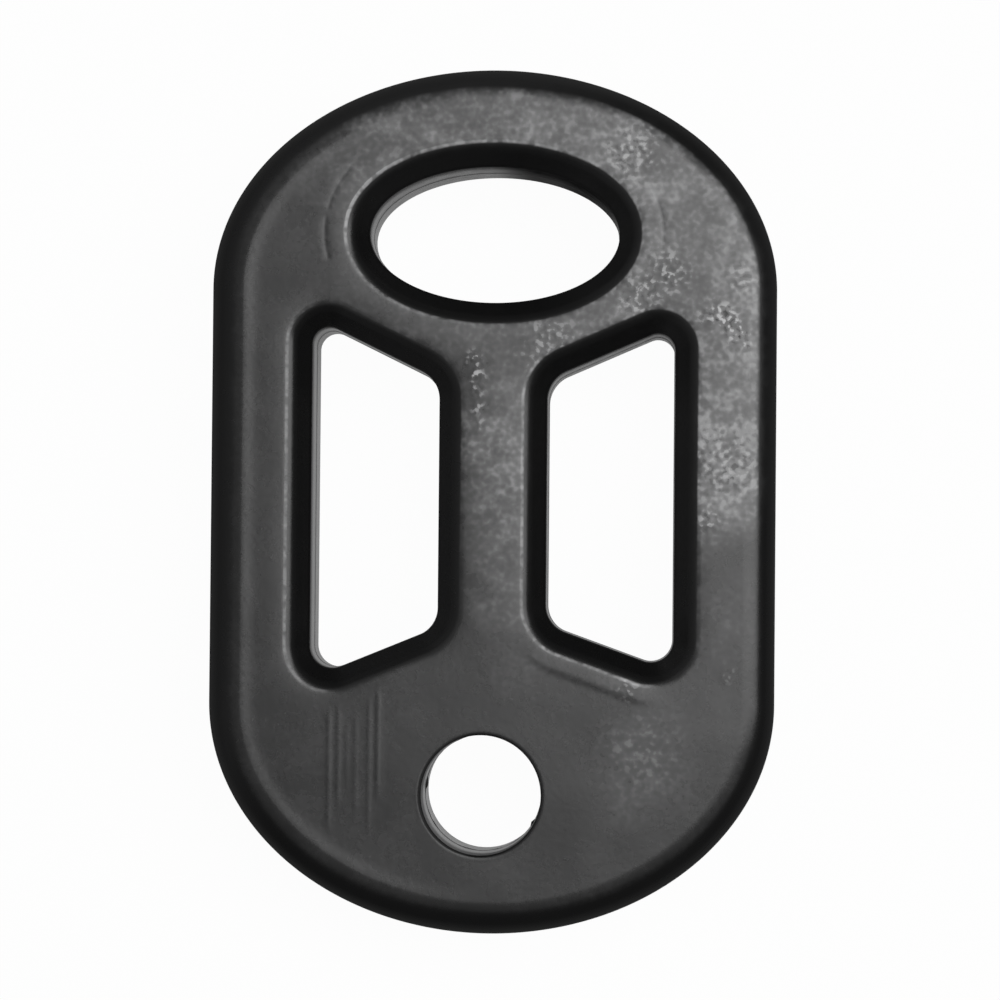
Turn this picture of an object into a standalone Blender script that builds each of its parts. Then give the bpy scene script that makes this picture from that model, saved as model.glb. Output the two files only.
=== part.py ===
"""Exhaust hanger: one moulded rubber link that holds an exhaust pipe under a car.

The body is a flat pad with straight sides and half-elliptical ends. An oval eye near the top takes the
car's hook, a round bore near the bottom takes the pipe's hanger rod, and two slanted windows between
them leave two side legs and a centre bar that stretch as springs.

The hanger lies flat on its back: +X across, +Y from the bore to the oval eye, +Z up through its
thickness. The origin is under the middle of the body. Every wall leans by the mould's draft towards the
parting plane halfway up, and the sizes in X and Y are the ones on that plane.
"""

import math

import bmesh
import bpy

MM = 0.001

# The pad
LENGTH = 80.0 * MM
WIDTH = 52.4 * MM
THICKNESS = 15.0 * MM
TOP_END_RISE = 20.5 * MM  # height of the half ellipse that closes the top end
BOTTOM_END_RISE = 21.3 * MM

# The oval eye for the car's hook
CROWN = 9.2 * MM  # rubber above the eye
EYE_WIDTH = 22.9 * MM
EYE_HEIGHT = 12.4 * MM

# The round bore for the pipe's rod
FOOT = 7.5 * MM  # rubber below the bore
BORE_DIAMETER = 10.8 * MM
BORE_OFFSET = -0.8 * MM  # the bore sits a little to the left of the middle

# The two windows beside the centre bar, whose ends slant a little differently on each side
LEG_WIDTH = 9.5 * MM
BAR_WIDTH = 10.15 * MM
LEFT_BRIDGE = 4.45 * MM  # from the eye down to the middle of the left window's upper edge
RIGHT_BRIDGE = 4.65 * MM
LEFT_WAIST = 7.65 * MM  # from the bore up to the middle of the left window's lower edge
RIGHT_WAIST = 8.25 * MM
LEFT_UPPER_SLOPE = math.radians(26.1)
RIGHT_UPPER_SLOPE = math.radians(23.6)
LEFT_LOWER_SLOPE = math.radians(22.4)
RIGHT_LOWER_SLOPE = math.radians(19.7)
UPPER_OUTER_CORNER = 1.5 * MM
UPPER_INNER_CORNER = 2.85 * MM
LOWER_INNER_CORNER = 2.6 * MM
LOWER_OUTER_CORNER = 2.0 * MM

# The moulding
PAD_EDGE_RADIUS = 3.0 * MM
RIM_FACE_RADIUS = 1.6 * MM  # where the sloping rims of the eye and the windows leave the face
RIM_SLOPE = 1.5 * MM
RIM_TILT = math.radians(50.0)
RIM_WALL_RADIUS = 1.0 * MM
BORE_EDGE_RADIUS = 0.3 * MM
DRAFT = math.radians(1.0)
STEEPEST = math.pi / 2 - DRAFT

# Smoothness of the curves
END_STEPS = 60
EYE_STEPS = 80
BORE_STEPS = 56
CORNER_STEPS = 12
PAD_EDGE_STEPS = 6
RIM_FACE_STEPS = 4
RIM_WALL_STEPS = 2
BORE_EDGE_STEPS = 2

RUBBER_COLOUR = (0.018, 0.018, 0.019, 1.0)
RUBBER_ROUGHNESS = 0.5


def ellipse_arc(centre, half_width, half_height, start, end, steps, inset):
    """Points from one angle to the other, moved along the ellipse's normal by the inset."""
    points = []
    for step in range(steps + 1):
        angle = start + (end - start) * step / steps
        normal = (half_height * math.cos(angle), half_width * math.sin(angle))
        scale = inset / math.hypot(*normal)
        points.append((
            centre[0] + half_width * math.cos(angle) + normal[0] * scale,
            centre[1] + half_height * math.sin(angle) + normal[1] * scale,
        ))
    return points


def pad_outline(inset):
    """The pad's rim, drawn in by the inset."""
    upper = (0.0, LENGTH / 2 - TOP_END_RISE)
    lower = (0.0, BOTTOM_END_RISE - LENGTH / 2)
    top = ellipse_arc(upper, WIDTH / 2, TOP_END_RISE, 0.0, math.pi, END_STEPS, -inset)
    bottom = ellipse_arc(lower, WIDTH / 2, BOTTOM_END_RISE, math.pi, 2 * math.pi, END_STEPS, -inset)
    return top + bottom


def eye_centre():
    return (0.0, LENGTH / 2 - CROWN - EYE_HEIGHT / 2)


def eye_outline(inset):
    """The oval eye, opened out by the inset."""
    return ellipse_arc(
        eye_centre(), EYE_WIDTH / 2, EYE_HEIGHT / 2, 0.0, 2 * math.pi, EYE_STEPS, inset
    )[:-1]


def bore_centre():
    return (BORE_OFFSET, FOOT + BORE_DIAMETER / 2 - LENGTH / 2)


def bore_outline(inset):
    """The round bore, opened out by the inset."""
    radius = BORE_DIAMETER / 2
    return ellipse_arc(bore_centre(), radius, radius, 0.0, 2 * math.pi, BORE_STEPS, inset)[:-1]


def window_corners(bridge, waist, upper_slope, lower_slope):
    """A window's four sharp corners in order, on the right-hand side, each with its rounding radius."""
    inner = BAR_WIDTH / 2
    outer = WIDTH / 2 - LEG_WIDTH
    half_width = (outer - inner) / 2
    upper = eye_centre()[1] - EYE_HEIGHT / 2 - bridge
    lower = bore_centre()[1] + BORE_DIAMETER / 2 + waist
    upper_rise = half_width * math.tan(upper_slope)
    lower_drop = half_width * math.tan(lower_slope)
    return [
        (outer, upper + upper_rise, UPPER_OUTER_CORNER),
        (inner, upper - upper_rise, UPPER_INNER_CORNER),
        (inner, lower + lower_drop, LOWER_INNER_CORNER),
        (outer, lower - lower_drop, LOWER_OUTER_CORNER),
    ]


def corner_arc(before, corner, after, inset):
    """The arc that rounds one corner of a counter-clockwise outline, opened out by the inset."""
    x, y, radius = corner
    to_before = math.atan2(before[1] - y, before[0] - x)
    to_after = math.atan2(after[1] - y, after[0] - x)
    opening = (to_before - to_after) % (2 * math.pi)
    middle = to_after + opening / 2
    reach = radius / math.sin(opening / 2)
    centre = (x + reach * math.cos(middle), y + reach * math.sin(middle))
    turn = math.pi - opening
    points = []
    for step in range(CORNER_STEPS + 1):
        angle = middle + math.pi - turn / 2 + turn * step / CORNER_STEPS
        points.append((
            centre[0] + (radius + inset) * math.cos(angle),
            centre[1] + (radius + inset) * math.sin(angle),
        ))
    return points


def window_outline(corners, inset):
    points = []
    for place, corner in enumerate(corners):
        after = corners[(place + 1) % len(corners)]
        points += corner_arc(corners[place - 1], corner, after, inset)
    return points


def right_window_outline(inset):
    corners = window_corners(RIGHT_BRIDGE, RIGHT_WAIST, RIGHT_UPPER_SLOPE, RIGHT_LOWER_SLOPE)
    return window_outline(corners, inset)


def left_window_outline(inset):
    corners = window_corners(LEFT_BRIDGE, LEFT_WAIST, LEFT_UPPER_SLOPE, LEFT_LOWER_SLOPE)
    return [(-x, y) for x, y in reversed(window_outline(corners, inset))]


def arc_down(start, radius, first, last, steps):
    """A rounding's (inset, height) points, as its surface turns from one tilt to another.

    The start itself is left out.
    """
    inset, height = start
    points = []
    for step in range(1, steps + 1):
        tilt = first + (last - first) * step / steps
        points.append((
            inset - radius * (math.sin(tilt) - math.sin(first)),
            height - radius * (math.cos(first) - math.cos(tilt)),
        ))
    return points


def round_rim(radius, steps):
    face = (0.0, THICKNESS)
    return [face] + arc_down(face, radius, 0.0, STEEPEST, steps)


def sloped_rim():
    """The rim of the eye and the windows: rounded, then sloping, then rounded into the wall."""
    points = [(0.0, THICKNESS)]
    points += arc_down(points[-1], RIM_FACE_RADIUS, 0.0, RIM_TILT, RIM_FACE_STEPS)
    inset, height = points[-1]
    foot = (inset - RIM_SLOPE * math.cos(RIM_TILT), height - RIM_SLOPE * math.sin(RIM_TILT))
    return points + [foot] + arc_down(foot, RIM_WALL_RADIUS, RIM_TILT, STEEPEST, RIM_WALL_STEPS)


def wall_section(rim):
    """The section of a wall from the front face to the back, as (inset, height) pairs.

    Below the rim the wall leans by the draft to the parting plane, where the inset is zero. The back
    half mirrors the front half.
    """
    last_inset, last_height = rim[-1]
    lean = (last_height - THICKNESS / 2) * math.tan(DRAFT)
    front = [(inset - last_inset + lean, height) for inset, height in rim]
    back = [(inset, THICKNESS - height) for inset, height in reversed(front)]
    return front + [(0.0, THICKNESS / 2)] + back


def sweep_wall(mesh, outline, section):
    """Sweep the section round an outline, and return the edges that it leaves on each face."""
    rings = []
    for inset, height in section:
        rings.append([mesh.verts.new((x, y, height)) for x, y in outline(inset)])
    for upper, lower in zip(rings, rings[1:]):
        for place in range(len(upper)):
            mesh.faces.new((upper[place - 1], lower[place - 1], lower[place], upper[place]))
    return [
        [mesh.edges.get((ring[place - 1], ring[place])) for place in range(len(ring))]
        for ring in (rings[0], rings[-1])
    ]


def rubber():
    material = bpy.data.materials.new("black_rubber")
    material.use_nodes = True
    shader = material.node_tree.nodes["Principled BSDF"]
    shader.inputs["Base Color"].default_value = RUBBER_COLOUR
    shader.inputs["Roughness"].default_value = RUBBER_ROUGHNESS
    shader.inputs["Metallic"].default_value = 0.0
    return material


def build_hanger():
    hole_rim = wall_section(sloped_rim())
    bore_rim = wall_section(round_rim(BORE_EDGE_RADIUS, BORE_EDGE_STEPS))
    walls = [
        (pad_outline, wall_section(round_rim(PAD_EDGE_RADIUS, PAD_EDGE_STEPS))),
        (eye_outline, hole_rim),
        (left_window_outline, hole_rim),
        (right_window_outline, hole_rim),
        (bore_outline, bore_rim),
    ]
    mesh = bmesh.new()
    front_edges, back_edges = [], []
    for outline, section in walls:
        front, back = sweep_wall(mesh, outline, section)
        front_edges += front
        back_edges += back
    bmesh.ops.triangle_fill(mesh, use_beauty=True, edges=front_edges, normal=(0.0, 0.0, 1.0))
    bmesh.ops.triangle_fill(mesh, use_beauty=True, edges=back_edges, normal=(0.0, 0.0, -1.0))
    bmesh.ops.recalc_face_normals(mesh, faces=mesh.faces)

    data = bpy.data.meshes.new("hanger_body")
    mesh.to_mesh(data)
    mesh.free()
    data.shade_smooth()
    data.set_sharp_from_angle(angle=math.radians(35.0))
    data.materials.append(rubber())
    hanger = bpy.data.objects.new("hanger_body", data)
    bpy.context.scene.collection.objects.link(hanger)
    return hanger


for old in list(bpy.data.objects):
    bpy.data.objects.remove(old)
build_hanger()
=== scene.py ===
"""Looks of the exhaust hanger: the moulded body as a fine mesh, its black rubber, and the studio.

The body is a flat pad with an oval eye, a round bore and two slanted windows. Its rims are swept as
fine rings, and its faces are filled with small triangles, so that seams, ridges and tool marks can be
real shape.
"""

import math
from types import SimpleNamespace

import bmesh
import bpy
import numpy as np
from mathutils import Matrix, Vector, geometry, noise


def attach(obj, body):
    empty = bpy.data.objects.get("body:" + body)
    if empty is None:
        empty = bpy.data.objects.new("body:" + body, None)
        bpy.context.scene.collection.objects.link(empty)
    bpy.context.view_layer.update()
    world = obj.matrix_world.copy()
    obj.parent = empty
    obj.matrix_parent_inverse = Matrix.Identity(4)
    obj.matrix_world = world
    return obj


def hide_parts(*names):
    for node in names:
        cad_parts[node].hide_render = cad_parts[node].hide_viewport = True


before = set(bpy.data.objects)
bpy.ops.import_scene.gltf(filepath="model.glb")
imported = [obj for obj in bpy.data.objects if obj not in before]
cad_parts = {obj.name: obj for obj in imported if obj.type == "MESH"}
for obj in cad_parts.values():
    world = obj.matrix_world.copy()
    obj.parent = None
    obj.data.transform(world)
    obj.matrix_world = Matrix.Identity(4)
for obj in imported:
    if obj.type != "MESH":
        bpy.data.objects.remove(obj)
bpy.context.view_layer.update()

MM = 0.001

# Sizes of the body, in millimetres, as in the solid model
LENGTH = 80.0
WIDTH = 52.4
THICKNESS = 15.0
TOP_END_RISE = 20.5
BOTTOM_END_RISE = 21.3
CROWN = 9.2
EYE_WIDTH = 22.9
EYE_HEIGHT = 12.4
FOOT = 7.5
BORE_DIAMETER = 10.8
BORE_OFFSET = -0.8
LEG_WIDTH = 9.5
BAR_WIDTH = 10.15
LEFT_BRIDGE = 4.45
RIGHT_BRIDGE = 4.65
LEFT_WAIST = 7.65
RIGHT_WAIST = 8.25
LEFT_UPPER_SLOPE = math.radians(26.1)
RIGHT_UPPER_SLOPE = math.radians(23.6)
LEFT_LOWER_SLOPE = math.radians(22.4)
RIGHT_LOWER_SLOPE = math.radians(19.7)
UPPER_OUTER_CORNER = 1.5
UPPER_INNER_CORNER = 2.85
LOWER_INNER_CORNER = 2.6
LOWER_OUTER_CORNER = 2.0
PAD_EDGE_RADIUS = 3.0
RIM_FACE_RADIUS = 1.6
RIM_SLOPE = 1.5
RIM_WALL_RADIUS = 1.0
RIM_TILT = math.radians(50.0)
BORE_EDGE_RADIUS = 0.3
DRAFT = math.radians(1.0)
STEEPEST = math.pi / 2 - DRAFT
RIM_WIDTH = (
    RIM_FACE_RADIUS * math.sin(RIM_TILT)
    + RIM_SLOPE * math.cos(RIM_TILT)
    + RIM_WALL_RADIUS * (math.sin(STEEPEST) - math.sin(RIM_TILT))
)

EYE_CENTRE = (0.0, LENGTH / 2 - CROWN - EYE_HEIGHT / 2)
BORE_CENTRE = (BORE_OFFSET, FOOT + BORE_DIAMETER / 2 - LENGTH / 2)

# Fineness of the mesh, in millimetres
RIM_STEP = 0.42
FRONT_STEP = 0.5
BACK_STEP = 1.3

# Relief of the moulding, in millimetres
WAVES = (
    # height, length and seed of each soft waviness of the front face
    (0.035, 9.0, 3.0),
    (0.010, 3.2, 11.0),
)
RIM_RIDGE_GAP = 3.2  # from the pad's rim to the faint ridge that follows it on the left
RIM_RIDGE_HEIGHT = 0.05
RIM_RIDGE_WIDTH = 0.65
RIM_SINK = 0.05  # how far the face sinks where the rims of the eye and the windows start
RIM_SINK_WIDTH = 0.9
LEDGE_HEIGHT = 0.04
RELIEF_TOP = 0.12  # the highest that the relief of the front face reaches above its mean
FLASH_HEIGHT = 0.035  # how far the flash at the parting plane stands out of the wall
FLASH_WIDTH = 0.3
FACE_MARGIN = 0.15  # a narrow strip of the face beside each rim, which keeps its shading clean


# Outlines, each a function of how far it is drawn into the rubber


def ellipse_arc(centre, half_width, half_height, start, end, inset):
    """Points along an ellipse, evenly spaced, moved along its normal by the inset."""
    fine = np.linspace(start, end, 2000)
    x, y = half_width * np.cos(fine), half_height * np.sin(fine)
    run = np.concatenate([[0.0], np.cumsum(np.hypot(np.diff(x), np.diff(y)))])
    count = round(run[-1] / RIM_STEP)
    angles = np.interp(np.linspace(0.0, run[-1], count + 1), run, fine)
    normal = np.stack([half_height * np.cos(angles), half_width * np.sin(angles)], 1)
    normal /= np.linalg.norm(normal, axis=1, keepdims=True)
    points = np.stack([half_width * np.cos(angles), half_height * np.sin(angles)], 1)
    return points + normal * inset + np.array(centre)


def straight_steps(first, last):
    """How many steps a straight run between two points takes."""
    return max(round(math.dist(first, last) / RIM_STEP), 1)


def spaced_like(base, parts):
    """Split straight runs of an inset outline as the outline without inset splits them."""
    points = []
    for place, part in enumerate(parts):
        after = (place + 1) % len(parts)
        count = straight_steps(base[place][-1], base[after][0])
        shares = np.arange(1, count)[:, None] / count
        points += [part, part[-1] + (parts[after][0] - part[-1]) * shares]
    return np.concatenate(points)


def pad_ends(inset):
    upper = (0.0, LENGTH / 2 - TOP_END_RISE)
    lower = (0.0, BOTTOM_END_RISE - LENGTH / 2)
    return [
        ellipse_arc(upper, WIDTH / 2, TOP_END_RISE, 0.0, math.pi, -inset),
        ellipse_arc(lower, WIDTH / 2, BOTTOM_END_RISE, math.pi, 2 * math.pi, -inset),
    ]


def pad_outline(inset):
    return spaced_like(pad_ends(0.0), pad_ends(inset))


def eye_outline(inset):
    return ellipse_arc(EYE_CENTRE, EYE_WIDTH / 2, EYE_HEIGHT / 2, 0.0, 2 * math.pi, inset)[:-1]


def bore_outline(inset):
    radius = BORE_DIAMETER / 2
    return ellipse_arc(BORE_CENTRE, radius, radius, 0.0, 2 * math.pi, inset)[:-1]


def window_corner(before, corner, after, inset):
    """The arc that rounds one corner of a window, drawn into the rubber by the inset."""
    x, y, radius = corner
    to_before = math.atan2(before[1] - y, before[0] - x)
    to_after = math.atan2(after[1] - y, after[0] - x)
    opening = (to_before - to_after) % (2 * math.pi)
    middle = to_after + opening / 2
    reach = radius / math.sin(opening / 2)
    turn = math.pi - opening
    steps = round((radius + RIM_WIDTH) * turn / RIM_STEP)
    angles = middle + math.pi + np.linspace(-turn / 2, turn / 2, steps + 1)
    centre = np.array([x + reach * math.cos(middle), y + reach * math.sin(middle)])
    return centre + (radius + inset) * np.stack([np.cos(angles), np.sin(angles)], 1)


def window_arcs(bridge, waist, upper_slope, lower_slope, inset):
    inner = BAR_WIDTH / 2
    outer = WIDTH / 2 - LEG_WIDTH
    half_width = (outer - inner) / 2
    upper = EYE_CENTRE[1] - EYE_HEIGHT / 2 - bridge
    lower = BORE_CENTRE[1] + BORE_DIAMETER / 2 + waist
    upper_rise = half_width * math.tan(upper_slope)
    lower_drop = half_width * math.tan(lower_slope)
    corners = [
        (outer, upper + upper_rise, UPPER_OUTER_CORNER),
        (inner, upper - upper_rise, UPPER_INNER_CORNER),
        (inner, lower + lower_drop, LOWER_INNER_CORNER),
        (outer, lower - lower_drop, LOWER_OUTER_CORNER),
    ]
    return [
        window_corner(corners[place - 1], corner, corners[(place + 1) % 4], inset)
        for place, corner in enumerate(corners)
    ]


def right_window_outline(inset):
    shape = (RIGHT_BRIDGE, RIGHT_WAIST, RIGHT_UPPER_SLOPE, RIGHT_LOWER_SLOPE)
    return spaced_like(window_arcs(*shape, 0.0), window_arcs(*shape, inset))


def left_window_outline(inset):
    shape = (LEFT_BRIDGE, LEFT_WAIST, LEFT_UPPER_SLOPE, LEFT_LOWER_SLOPE)
    outline = spaced_like(window_arcs(*shape, 0.0), window_arcs(*shape, inset))
    return outline[::-1] * np.array([-1.0, 1.0])


# Sections of the walls


def arc_down(start, radius, first, last, steps):
    """Points of a rounding whose surface turns from one tilt to another, without its first point."""
    inset, height = start
    points = []
    for tilt in np.linspace(first, last, steps + 1)[1:]:
        across = inset - radius * (math.sin(tilt) - math.sin(first))
        points.append((across, height - radius * (math.cos(first) - math.cos(tilt))))
    return points


def round_rim(radius, steps):
    face = (0.0, THICKNESS)
    return [(FACE_MARGIN, THICKNESS), face] + arc_down(face, radius, 0.0, STEEPEST, steps)


def sloped_rim():
    """The rim of the eye and the windows: rounded, then sloping, then rounded into the wall."""
    points = [(FACE_MARGIN, THICKNESS), (0.0, THICKNESS)]
    points += arc_down(points[-1], RIM_FACE_RADIUS, 0.0, RIM_TILT, 9)
    inset, height = points[-1]
    for length in np.linspace(0.0, RIM_SLOPE, 4)[1:]:
        points.append((inset - length * math.cos(RIM_TILT), height - length * math.sin(RIM_TILT)))
    return points + arc_down(points[-1], RIM_WALL_RADIUS, RIM_TILT, STEEPEST, 5)


def wall_section(rim, wall_steps):
    """A whole section, as (inset, height, share of the face's relief): rim, drafted wall, flash
    line at the parting plane, and its mirror."""
    last_inset, last_height = rim[-1]
    lean = (last_height - THICKNESS / 2) * math.tan(DRAFT)
    front = []
    for inset, height in rim:
        relief = (height - last_height) / (THICKNESS - last_height)
        front.append((inset - last_inset + lean, height, relief))
    flash_top = THICKNESS / 2 + FLASH_WIDTH
    flash_foot = FLASH_HEIGHT + FLASH_WIDTH * math.tan(DRAFT)
    for step in range(1, wall_steps + 1):
        share = step / wall_steps
        inset = lean + (flash_foot - lean) * share
        front.append((inset, last_height + (flash_top - last_height) * share, 0.0))
    front.append((FLASH_HEIGHT * 0.55, THICKNESS / 2 + FLASH_WIDTH * 0.4, 0.0))
    back = [(inset, THICKNESS - height, 0.0) for inset, height, _ in reversed(front)]
    return front + [(0.0, THICKNESS / 2, 0.0)] + back


# Relief of the front face


def smooth(value, low, high):
    share = np.clip((value - low) / (high - low), 0.0, 1.0)
    return share * share * (3.0 - 2.0 * share)


def bump_line(distance, width):
    """A rounded ridge one high, at no distance, that dies out over the width."""
    return np.exp(-((distance / width) ** 2))


def waviness(points, size, seed):
    return np.array([noise.noise(Vector((x / size, y / size, seed))) for x, y in points])


def distance_to(points, outline):
    """How far each point is from the nearest point of an outline."""
    nearest = np.full(len(points), np.inf)
    for start in range(0, len(outline), 40):
        gap = points[:, None, :] - outline[None, start : start + 40, :]
        nearest = np.minimum(nearest, np.sqrt((gap**2).sum(2)).min(1))
    return nearest


# Seams and marks on the front face
EYE_SEAM = (15.6, 11.4)  # half width and half height of the seam round the eye
SEAM_WIDTH = 0.2
SEAM_STRETCHES = (
    # side, lower end and upper end from the eye's middle, depth
    (-1.0, -2.3, 1.2, 0.024),
    (-1.0, 2.4, 6.3, 0.022),
    (1.0, -1.2, 4.4, 0.035),
)
TOOL_MARK_WIDTH = 0.17
TOOL_MARKS = (
    # x, lower end, upper end, height of the fine ridge
    (-14.77, -31.0, -18.6, 0.018),
    (-13.90, -29.0, -18.2, 0.015),
    (-13.10, -27.5, -20.0, 0.006),
    (-12.30, -30.0, -19.0, 0.009),
    (-11.09, -31.2, -17.6, 0.013),
    (-10.26, -28.0, -16.6, 0.017),
)
FLASH_TAGS = (
    # direction from the bore's middle, half width along the wall, reach into the bore
    (math.radians(-31.0), 0.08, 0.16),
    (math.radians(171.0), 0.12, 0.12),
)


def ledge_below_window(points, window_gap):
    """The low plateau that an insert left along the lower edge of the right window."""
    x, y = points[:, 0], points[:, 1]
    along = smooth(x, 2.0, 5.0) * (1 - smooth(x, 13.0, 16.0)) * (1 - smooth(y, -12.5, -10.0))
    plateau = smooth(-window_gap, -4.25, -3.45)
    return LEDGE_HEIGHT * plateau * along


def rim_sink(points, right_gap):
    """How far the face sinks softly towards the rims of the eye and the windows."""
    gap = np.minimum(distance_to(points, eye_outline(0.0)), right_gap)
    gap = np.minimum(gap, distance_to(points, left_window_outline(0.0)))
    return RIM_SINK * np.exp((RIM_WIDTH - gap) / RIM_SINK_WIDTH)


def face_relief(points):
    """Height of the front face above the plane through its highest point."""
    x, y = points[:, 0], points[:, 1]
    rim_gap = distance_to(points, pad_outline(0.0))
    right_gap = distance_to(points, right_window_outline(0.0))
    height = sum(rise * waviness(points, length, seed) for rise, length, seed in WAVES)
    rim_ridge = RIM_RIDGE_HEIGHT * bump_line(rim_gap - RIM_RIDGE_GAP, RIM_RIDGE_WIDTH)
    height += rim_ridge * (1 - smooth(x, -12.0, 2.0))
    height += ledge_below_window(points, right_gap)
    height -= rim_sink(points, right_gap)
    seam = np.hypot((x - EYE_CENTRE[0]) / EYE_SEAM[0], (y - EYE_CENTRE[1]) / EYE_SEAM[1]) - 1.0
    above_eye = y - EYE_CENTRE[1]
    for side, low, high, depth in SEAM_STRETCHES:
        along = smooth(above_eye, low - 0.4, low) * (1 - smooth(above_eye, high, high + 0.4))
        height -= depth * bump_line(seam * EYE_SEAM[0], SEAM_WIDTH) * along * (side * x > 8.0)
    for mark, low, high, ridge in TOOL_MARKS:
        ends = smooth(y, low, low + 2.0) * (1 - smooth(y, high - 2.0, high))
        height += ridge * bump_line(x - mark, TOOL_MARK_WIDTH) * ends
    return height - RELIEF_TOP


# The mesh


class Shell:
    """Vertices and faces gathered ring by ring, in millimetres."""

    def __init__(self):
        self.points = []
        self.faces = []

    def add(self, points):
        first = len(self.points)
        self.points += [tuple(point) for point in points]
        return list(range(first, len(self.points)))

    def sweep(self, outline, section, flash=None):
        """Sweep a wall's section round an outline, with flash along the parting plane.

        Returns the first and last ring.
        """
        rings = []
        for inset, height, share in section:
            flat = outline(inset)
            if flash and height == THICKNESS / 2:
                flat = flat + (outline(inset - 1.0) - flat) * flash(flat)[:, None]
            level = np.full(len(flat), height)
            if share:
                level = level + share * face_relief(flat)
            rings.append(self.add(np.column_stack([flat, level])))
        for upper, lower in zip(rings, rings[1:]):
            for place in range(len(upper)):
                self.faces.append((upper[place - 1], lower[place - 1], lower[place], upper[place]))
        return rings[0], rings[-1]

    def fill(self, loops, inner, height):
        """Fill a face between its outer loop and the holes' loops, with points inside it."""
        flat = [self.points[index][:2] for loop in loops for index in loop]
        edges, first = [], 0
        for loop in loops:
            edges += [(first + place, first + (place + 1) % len(loop)) for place in range(len(loop))]
            first += len(loop)
        indices = [index for loop in loops for index in loop]
        indices += self.add(np.column_stack([inner, height]))
        flat += [tuple(point) for point in inner]
        found = geometry.delaunay_2d_cdt([Vector(point) for point in flat], edges, [], 0, 1e-6)
        origin = [indices[known[0]] for known in found[3]]
        corners = np.array([[tuple(found[0][index]) for index in face] for face in found[2]])
        outlines = [np.array([self.points[index][:2] for index in loop]) for loop in loops]
        middles = corners.mean(1)
        kept = inside(middles, outlines[0])
        for outline in outlines[1:]:
            kept &= ~inside(middles, outline)
        self.faces += [
            tuple(origin[index] for index in face) for face, keep in zip(found[2], kept) if keep
        ]


def inside(points, outline):
    """Whether each point lies inside a closed outline."""
    result = np.zeros(len(points), bool)
    ends = np.roll(outline, -1, axis=0)
    for (x1, y1), (x2, y2) in zip(outline, ends):
        if y1 == y2:
            continue
        crosses = (y1 > points[:, 1]) != (y2 > points[:, 1])
        result ^= crosses & (points[:, 0] < x1 + (x2 - x1) * (points[:, 1] - y1) / (y2 - y1))
    return result


def face_points(step, loops, lines):
    """Points spread over a face, closer together along fine lines, and clear of the loops."""
    rows = np.arange(-LENGTH / 2, LENGTH / 2, step * 0.866)
    grid = []
    for count, y in enumerate(rows):
        offset = step / 2 if count % 2 else 0.0
        grid += [(x, y) for x in np.arange(-WIDTH / 2 + offset, WIDTH / 2, step)]
    grid = np.array(grid)
    if len(lines):
        near = distance_to(grid, lines)
        grid = np.concatenate([grid[near > step * 0.5], lines])
    kept = inside(grid, loops[0])
    for loop in loops[1:]:
        kept &= ~inside(grid, loop)
    grid = grid[kept]
    gap = np.full(len(grid), np.inf)
    for loop in loops:
        gap = np.minimum(gap, distance_to(grid, loop))
    return grid[gap > 0.2]


def mark_lines():
    """Points that follow the seams and tool marks, with a few rows beside each."""
    rows = []
    for aside in (-0.3, -0.15, 0.0, 0.15, 0.3):
        angles = np.arange(0.0, 2 * math.pi, 0.02)
        seam = np.stack([
            EYE_CENTRE[0] + (EYE_SEAM[0] + aside) * np.cos(angles),
            EYE_CENTRE[1] + (EYE_SEAM[1] + aside) * np.sin(angles),
        ], 1)
        rows.append(seam[(np.abs(seam[:, 0]) > 11.0) & (seam[:, 1] > EYE_CENTRE[1] - 3.0)])
    for mark, low, high, _ in TOOL_MARKS:
        ys = np.arange(low, high, 0.45)
        for aside in (-0.36, -0.18, 0.0, 0.18, 0.36):
            rows.append(np.stack([np.full(len(ys), mark + aside), ys], 1))
    for gap in (3.3, 3.5, 3.7, 3.9, 4.1, 4.3, 4.5):
        ledge = right_window_outline(gap)
        rows.append(ledge[(ledge[:, 1] < -9.5) & (ledge[:, 0] < 17.0)])
    return np.concatenate(rows)


def rubber_body():
    """The whole hanger as one closed fine mesh."""
    shell = Shell()
    pad_rim = wall_section(round_rim(PAD_EDGE_RADIUS, 16), 4)
    hole_rim = wall_section(sloped_rim(), 4)
    bore_rim = wall_section(round_rim(BORE_EDGE_RADIUS, 4), 8)
    rings = [
        shell.sweep(pad_outline, pad_rim),
        shell.sweep(eye_outline, hole_rim),
        shell.sweep(left_window_outline, hole_rim),
        shell.sweep(right_window_outline, hole_rim),
        shell.sweep(bore_outline, bore_rim, bore_flash),
    ]
    front = [ring[0] for ring in rings]
    back = [ring[1] for ring in rings]
    flat = [[np.array([shell.points[i][:2] for i in loop]) for loop in side] for side in (front, back)]
    inner = face_points(FRONT_STEP, flat[0], mark_lines())
    shell.fill(front, inner, THICKNESS + face_relief(inner))
    inner = face_points(BACK_STEP, flat[1], ())
    shell.fill(back, inner, np.zeros(len(inner)))

    mesh = bpy.data.meshes.new("rubber_body")
    mesh.from_pydata((np.array(shell.points) * MM).tolist(), [], shell.faces)
    body = bpy.data.objects.new("rubber_body", mesh)
    bpy.context.scene.collection.objects.link(body)
    turn_outwards(mesh)
    mesh.shade_smooth()
    return body


def bore_flash(points):
    """How far the torn flash reaches into the bore, with a tag at each end of the parting line."""
    x, y = points[:, 0] - BORE_CENTRE[0], points[:, 1] - BORE_CENTRE[1]
    reach = 0.08 * np.clip(waviness(points, 0.9, 5.0), 0.0, 1.0)
    for direction, half_width, tag in FLASH_TAGS:
        turn = np.angle(np.exp(1j * (np.arctan2(y, x) - direction)))
        reach += tag * smooth(half_width - np.abs(turn), 0.0, half_width * 0.6)
    return reach


def turn_outwards(mesh):
    shape = bmesh.new()
    shape.from_mesh(mesh)
    bmesh.ops.recalc_face_normals(shape, faces=shape.faces)
    shape.to_mesh(mesh)
    shape.free()


# Materials


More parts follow.
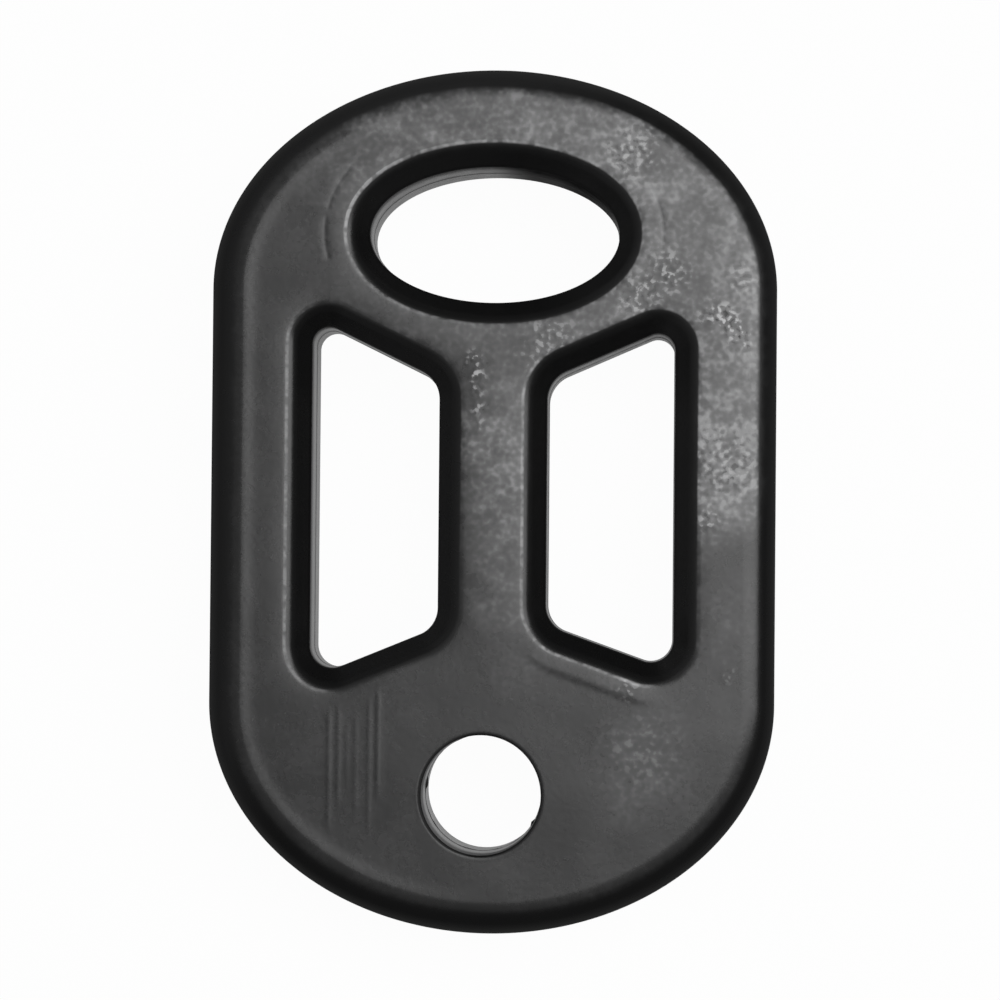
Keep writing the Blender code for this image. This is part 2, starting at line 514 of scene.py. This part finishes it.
class Value:
    """A shader socket that takes part in arithmetic."""

    def __init__(self, nodes, socket):
        self.nodes = nodes
        self.socket = socket

    def math(self, operation, *operands):
        return self.nodes.node(
            "ShaderNodeMath", {"operation": operation}, dict(enumerate(operands))
        )

    def __add__(self, other):
        return self.math("ADD", self, other)

    __radd__ = __add__

    def __sub__(self, other):
        return self.math("SUBTRACT", self, other)

    def __rsub__(self, other):
        return self.math("SUBTRACT", other, self)

    def __mul__(self, other):
        return self.math("MULTIPLY", self, other)

    __rmul__ = __mul__

    def __truediv__(self, other):
        return self.math("DIVIDE", self, other)

    def squared(self):
        return self * self

    def root(self):
        return self.math("SQRT", self)

    def clipped(self):
        return self.math("MINIMUM", self.math("MAXIMUM", self, 0.0), 1.0)

    def size(self):
        return self.math("ABSOLUTE", self)

    def larger(self, other):
        return self.math("MAXIMUM", self, other)

    def rise(self, low, high):
        """Zero below low, one above high, and smooth between them."""
        return self.nodes.node(
            "ShaderNodeMapRange",
            {"interpolation_type": "SMOOTHSTEP"},
            {"Value": self, "From Min": low, "From Max": high},
        )


class Nodes:
    """The nodes of one material or of the world."""

    def __init__(self, owner):
        owner.use_nodes = True
        self.tree = owner.node_tree
        self.tree.nodes.clear()

    def node(self, kind, settings=None, inputs=None, output=0):
        made = self.tree.nodes.new(kind)
        for name, setting in (settings or {}).items():
            setattr(made, name, setting)
        for name, value in (inputs or {}).items():
            if isinstance(value, Value):
                self.tree.links.new(value.socket, made.inputs[name])
            else:
                made.inputs[name].default_value = value
        return Value(self, made.outputs[output]) if len(made.outputs) else None

    def part(self, vector, axis):
        """The X, Y or Z part of a vector."""
        return self.node("ShaderNodeSeparateXYZ", {}, {0: vector}, axis)

    def noise(self, place, size, detail, roughness):
        """Noise from about 0 to 1 whose features are of this size, in millimetres."""
        return self.node(
            "ShaderNodeTexNoise",
            {},
            {"Vector": place, "Scale": 1000.0 / size, "Detail": detail, "Roughness": roughness},
        )

    def distance(self, place, middle):
        """How far a flat place is from a middle on the face."""
        settings = {"operation": "DISTANCE"}
        return self.node("ShaderNodeVectorMath", settings, {0: place, 1: (*middle, 0.0)}, "Value")

    def patches(self, place, rows):
        """Round patches that fade at their edges, from rows of x, y, radius and strength."""
        total = 0.0
        for x, y, radius, strength in rows:
            patch = self.node(
                "ShaderNodeMapRange",
                {"interpolation_type": "SMOOTHSTEP"},
                {
                    "Value": self.distance(place, (x, y)),
                    "From Min": radius * 0.2,
                    "From Max": radius * 1.5,
                    "To Min": strength,
                    "To Max": 0.0,
                },
            )
            total = patch + total
        return total

    def blend(self, share, first, second):
        """Mix two colours."""
        return self.node(
            "ShaderNodeMix",
            {"data_type": "RGBA"},
            {"Factor": share, 6: first, 7: second},
            output=2,
        )


def grey(level):
    return (level, level, level * 1.01, 1.0)


# Patches on the body, seen from the front: x, y, radius in millimetres and strength
SCUFFS = (
    (12.6, 32.0, 2.4, 0.7),
    (16.1, 21.1, 2.0, 0.8),
    (13.3, 18.8, 2.0, 0.8),
    (20.0, 17.2, 1.2, 0.7),
    (21.2, 17.2, 1.1, 1.2),
    (22.1, 16.1, 1.1, 1.2),
    (22.9, 14.9, 1.1, 1.1),
    (22.8, 20.6, 1.5, 0.5),
    (21.3, 3.6, 3.4, 0.6),
    (20.0, -1.6, 1.2, 0.8),
    (5.2, 14.3, 2.6, 0.5),
    (-1.7, 13.0, 0.8, 1.0),
    (-1.5, 11.5, 0.8, 1.0),
    (-1.4, 10.0, 0.7, 0.9),
    (-1.3, 8.5, 0.7, 0.7),
    (-1.2, 7.0, 0.7, 0.4),
    (14.0, -22.5, 3.4, 0.10),
    (12.4, -16.8, 1.4, 0.5),
    (21.6, -15.8, 0.8, 0.45),
)
DUST = (
    (0.8, 9.5, 3.0, 0.25),
    (0.8, 4.5, 3.4, 1.00),
    (0.8, 0.0, 3.0, 0.60),
    (0.8, -4.5, 2.8, 0.45),
    (1.2, -9.5, 3.0, 0.35),
    (21.2, 3.2, 5.2, 0.95),
    (21.2, 11.0, 5.0, 0.50),
    (22.0, 19.0, 4.4, 0.35),
    (13.0, 31.0, 4.5, 0.20),
    (-9.0, 32.5, 6.0, 0.20),
    (14.0, -24.0, 5.0, 0.32),
    (20.5, -11.0, 4.0, 0.25),
    (2.0, -15.5, 3.0, 0.15),
    (11.5, -16.2, 1.6, 0.25),
    (7.0, -28.0, 3.2, -0.07),
    (0.2, 14.4, 2.8, -0.12),
)
# Patches where the painted highlight on the lips, with their dust and wear, is made stronger
BRIGHT_LIP_PATCHES = (
    (-13.5, 25.5, 3.2, 1.2),
    (-11.2, 29.4, 3.2, 1.5),
    (12.4, -16.9, 2.4, 1.2),
    (4.6, -13.4, 2.4, 0.8),
    (4.6, 12.0, 2.2, 0.8),
)
# Patches on the eye's upper wall, where it turns away from the lamps, that keep it dark: painted shade
WALL_SHADE_PATCHES = (
    (5.0, 30.5, 4.0, 1.0),
    (9.6, 28.4, 3.0, 1.0),
)


PATTERNS = {
    # size in millimetres, detail and roughness
    "grain": (0.3, 3.0, 0.6),
    "specks": (0.5, 0.0, 0.5),
    "lumps": (0.9, 1.0, 0.5),
    "mottle": (2.0, 3.0, 0.6),
    "clouds": (7.0, 3.0, 0.5),
}

BARE_RUBBER = grey(0.006)
# The pale grey of dust, also used for painted light and sheen on the body
DUST_AND_SHEEN_GREY = grey(0.36)
PALE_FLECK = grey(0.6)
PIT_SHADE_GREY = grey(0.008)


def body_zones(nodes, place, normal):
    """Where on the body a point lies and how it is turned, each as a share from zero to one."""
    x, y = nodes.part(place, 0), nodes.part(place, 1)
    across, along, upright = (nodes.part(normal, axis) for axis in range(3))
    level = upright.size()
    rightwards = across.rise(0.05, 0.2)

    # Inside the outer rim, whose ends are taken as half ellipses that start at 19 mm and rise by 21
    ends = (y.size() - 19.0).larger(0.0) / 21.0
    inner = 1.0 - ((x / WIDTH * 2.0).squared() + ends.squared()).root().rise(0.84, 0.89)
    outer = 1.0 - inner

    # On the outer rounding that faces right, towards the lamps, the face's dust and haze reach further
    # down than elsewhere: painted light on that side
    outer_face = upright.rise(0.9, 1.0) * (1.0 - rightwards) + upright.rise(0.88, 0.95) * rightwards
    wall = (1.0 - level.rise(0.03, 0.12)) * inner
    # Rims that face left, and on the outer rim also up, are lightened in colour as if a dim lamp lit
    # them from there: painted light
    toward_left_light = (along * outer * 0.6 - across * 0.8).rise(0.05, 0.35)
    bore = 1.0 - nodes.distance(place, BORE_CENTRE).rise(6.0, 6.3)
    return SimpleNamespace(
        ends=ends,
        face=upright.rise(0.955, 0.985) * inner + outer_face * outer,
        lip=upright.rise(0.940, 0.975) * (1.0 - upright.rise(0.990, 0.998)) * inner,
        # how far a lip turns right and up, towards the lamps: it sets where a highlight is painted on
        # the lips
        lip_to_light=(across * 0.9 + along * (0.3 - y.rise(16.0, 24.0))).rise(0.02, 0.14),
        slope=toward_left_light * upright.rise(0.2, 0.9) * (1.0 - upright.rise(0.97, 1.0)),
        steep=1.0 - level.rise(0.3, 0.6),
        wall=wall,
        side=(1.0 - level.rise(0.05, 0.4)) * outer,
        bore=bore,
        bore_edge=bore * (1.0 - wall) * rightwards,
    )


def dust_film(nodes, place, zones, patterns):
    """The film of dust on the front face, thickest on its upper right and in patches."""
    x, y = nodes.part(place, 0), nodes.part(place, 1)
    film = (x * 0.9 + y * 0.5).rise(-8.0, 26.0) * (y - x * 0.75).rise(-22.0, -17.0)
    film = film + nodes.patches(place, DUST)
    film = film * (patterns.clouds.rise(0.2, 0.7) * 0.6 + 0.5)
    film = film * (patterns.mottle.rise(0.3, 0.7) * 0.8 + 0.5)
    film = film * (patterns.lumps.rise(0.3, 0.7) * 0.4 + patterns.specks.rise(0.3, 0.7) * 0.25 + 0.68)
    return film * (1.0 - zones.ends.rise(0.7, 0.98) * 0.6)


def lit_and_worn_lips(nodes, place, zones, patterns, film):
    """Painted highlights in beads along the lips of the eye and the windows, where they turn to the
    right towards the lamps, with a little dust and wear from the film.
    """
    beads = patterns.lumps.rise(0.35, 0.6) * 0.7 + patterns.specks.rise(0.4, 0.65) * 0.4 + 0.25
    # The beads are lightest where the lip turns to the lamps: a painted highlight, plus some dust and
    # wear
    lit_and_worn = zones.lip * beads * patterns.mottle.rise(0.1, 0.5) * (zones.lip_to_light * 0.9 + film * 0.25)
    return lit_and_worn * (nodes.patches(place, BRIGHT_LIP_PATCHES) + 1.0) * (1.0 - zones.bore)


def black_rubber():
    """Dusty black rubber with flecks in its scuffs, painted shade in their pits, painted highlights on
    its lips, painted light and shade on its slopes and walls, and a bloom on its sides.
    """
    material = bpy.data.materials.new("black_rubber")
    nodes = Nodes(material)
    coordinates = nodes.node("ShaderNodeTexCoord", output="Object")
    normal = nodes.node("ShaderNodeTexCoord", output="Normal")
    place = nodes.node(
        "ShaderNodeVectorMath", {"operation": "MULTIPLY"}, {0: coordinates, 1: (1000.0, 1000.0, 0.0)}
    )
    zones = body_zones(nodes, place, normal)
    noises = {name: nodes.noise(coordinates, *shape) for name, shape in PATTERNS.items()}
    patterns = SimpleNamespace(**noises)
    grain, specks, lumps = patterns.grain, patterns.specks, patterns.lumps
    mottle, clouds = patterns.mottle, patterns.clouds
    # painted shade on part of the eye's wall
    wall_shade = nodes.patches(place, WALL_SHADE_PATCHES)
    scuffs = nodes.patches(place, SCUFFS)
    film = dust_film(nodes, place, zones, patterns)

    haze = clouds.rise(0.3, 0.7) * 0.028 + mottle.rise(0.3, 0.7) * 0.012
    haze = haze * (lumps.rise(0.3, 0.7) * 0.4 + specks.rise(0.3, 0.7) * 0.4 + 0.6)
    bloom = mottle.rise(0.3, 0.7) * 0.08 + clouds.rise(0.3, 0.7) * 0.08 + 0.08
    dust_and_painted_light = (film * 0.5 + haze) * zones.face * (1.0 - zones.bore)
    # Slopes that face left get painted light
    dust_and_painted_light = dust_and_painted_light + lit_and_worn_lips(nodes, place, zones, patterns, film) * 0.4 + zones.slope * 0.035
    # The walls of the holes, the bore's most, are made pale: partly dust, partly a painted sheen for
    # the light they catch
    dust_and_painted_light = dust_and_painted_light + zones.wall * (zones.bore * 0.3 + 0.7) * (1.0 - wall_shade)
    dust_and_painted_light = (dust_and_painted_light + zones.side * bloom).clipped()
    colour = nodes.blend(dust_and_painted_light, BARE_RUBBER, DUST_AND_SHEEN_GREY)

    strewn = (scuffs + film * 0.12) * lumps.rise(0.3, 0.55)
    crumbs = specks * 0.6 + grain * 0.4
    flecks = crumbs.rise(0.53, 0.62) * strewn
    # Dark pits in the scuffs, where the relief is low: painted shade in the hollows
    pits = (1.0 - crumbs.rise(0.37, 0.45)) * strewn
    colour = nodes.blend((flecks * zones.face * 0.8).clipped(), colour, PALE_FLECK)
    colour = nodes.blend((pits * zones.face * 0.7).clipped(), colour, PIT_SHADE_GREY)

    roughness = 0.24 + 0.06 * mottle + film * 0.10 + zones.steep * 0.2 - zones.wall * 0.25
    roughness = roughness + zones.bore_edge * 0.5 + zones.wall * wall_shade * 0.5
    relief = grain * 0.05 + mottle * 0.06 + specks * (scuffs.clipped() * 0.4 + 0.04)
    bumped = nodes.node(
        "ShaderNodeBump", {}, {"Strength": 0.7, "Distance": 0.0001, "Height": relief}
    )
    shader = nodes.node(
        "ShaderNodeBsdfPrincipled",
        {},
        {"Base Color": colour, "Roughness": roughness, "Metallic": 0.0, "Normal": bumped},
    )
    nodes.node("ShaderNodeOutputMaterial", {}, {"Surface": shader})
    return material


MIRRORED_REACH = (0.0100, 0.0125)  # metres from the table at which its mirror image dies out


def white_table():
    """A table that the camera sees as white with a soft shadow, and that gives the rubber little
    light back, except to the walls of the holes where they mirror it from near by."""
    material = bpy.data.materials.new("white_table")
    nodes = Nodes(material)
    seen = nodes.node("ShaderNodeLightPath", output="Is Camera Ray")
    glossy = nodes.node("ShaderNodeLightPath", output="Is Glossy Ray")
    through = nodes.node("ShaderNodeLightPath", output="Is Transmission Ray")
    length = nodes.node("ShaderNodeLightPath", output="Ray Length")
    near = 1.0 - length.rise(*MIRRORED_REACH)
    shown = seen.larger(glossy * (near * 0.35 + 0.04)).larger(through)
    pale = nodes.blend(seen, (0.14, 0.14, 0.14, 1.0), (0.9, 0.9, 0.9, 1.0))
    plain = nodes.node("ShaderNodeBsdfDiffuse", {}, {"Color": pale})
    white = nodes.node("ShaderNodeEmission", {}, {"Color": (1.0, 1.0, 1.0, 1.0), "Strength": 1.0})
    both = nodes.node("ShaderNodeMixShader", {}, {0: shown * 0.97, 1: plain, 2: white})
    nodes.node("ShaderNodeOutputMaterial", {}, {"Surface": both})
    return material


# The studio


def table():
    mesh = bpy.data.meshes.new("table")
    reach = 6.0
    mesh.from_pydata(
        [(-reach, -reach, 0.0), (reach, -reach, 0.0), (reach, reach, 0.0), (-reach, reach, 0.0)],
        [],
        [(0, 1, 2, 3)],
    )
    surface = bpy.data.objects.new("table", mesh)
    bpy.context.scene.collection.objects.link(surface)
    mesh.materials.append(white_table())


def light_panel(name, low, high, height, radiance):
    """A level panel light over the table, between two corners, that faces straight down."""
    light = bpy.data.lights.new(name, "AREA")
    light.shape = "RECTANGLE"
    light.size = high[0] - low[0]
    light.size_y = high[1] - low[1]
    light.energy = radiance * math.pi * light.size * light.size_y
    lamp = bpy.data.objects.new(name, light)
    lamp.location = ((low[0] + high[0]) / 2, (low[1] + high[1]) / 2, height)
    lamp.visible_camera = False
    bpy.context.scene.collection.objects.link(lamp)


def surroundings():
    world = bpy.data.worlds.new("surroundings")
    bpy.context.scene.world = world
    nodes = Nodes(world)
    seen = nodes.node("ShaderNodeLightPath", output="Is Camera Ray")
    through = nodes.node("ShaderNodeLightPath", output="Is Transmission Ray")
    colour = nodes.blend(seen.larger(through), grey(0.075), (1.0, 1.0, 1.0, 1.0))
    light = nodes.node("ShaderNodeBackground", {}, {"Color": colour, "Strength": 1.0})
    nodes.node("ShaderNodeOutputWorld", {}, {"Surface": light})


# The camera looks almost straight down, from a little to the right of the hanger and below it
CAMERA_PLACE = (15.03, -9.63, 407.5)
CAMERA_TARGET = (0.5, 0.21, 7.5)
CAMERA_ROLL = math.radians(0.5)
FIELD_WIDTH = 93.55


def camera():
    place, target = Vector(CAMERA_PLACE), Vector(CAMERA_TARGET)
    backwards = (place - target).normalized()
    right = Vector((0.0, 1.0, 0.0)).cross(backwards).normalized()
    upwards = backwards.cross(right)
    turn = Matrix((right, upwards, backwards)).transposed() @ Matrix.Rotation(CAMERA_ROLL, 3, "Z")
    data = bpy.data.cameras.new("camera")
    data.sensor_width = 36.0
    data.lens = 36.0 * (place - target).length / FIELD_WIDTH
    data.clip_start = 0.01
    data.clip_end = 50.0
    view = bpy.data.objects.new("camera", data)
    view.matrix_world = Matrix.Translation(place * MM) @ turn.to_4x4()
    bpy.context.scene.collection.objects.link(view)
    bpy.context.scene.camera = view


camera()
body = rubber_body()
body.data.materials.append(black_rubber())
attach(body, "root")
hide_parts("hanger_body")

table()
light_panel("soft_panel", (-0.7, -0.7), (0.9, 0.9), 1.0, 0.34)
light_panel("bright_panel", (-0.04, -0.08), (1.3, 0.45), 0.98, 3.7)
surroundings()
bpy.context.scene.view_settings.view_transform = "Standard"
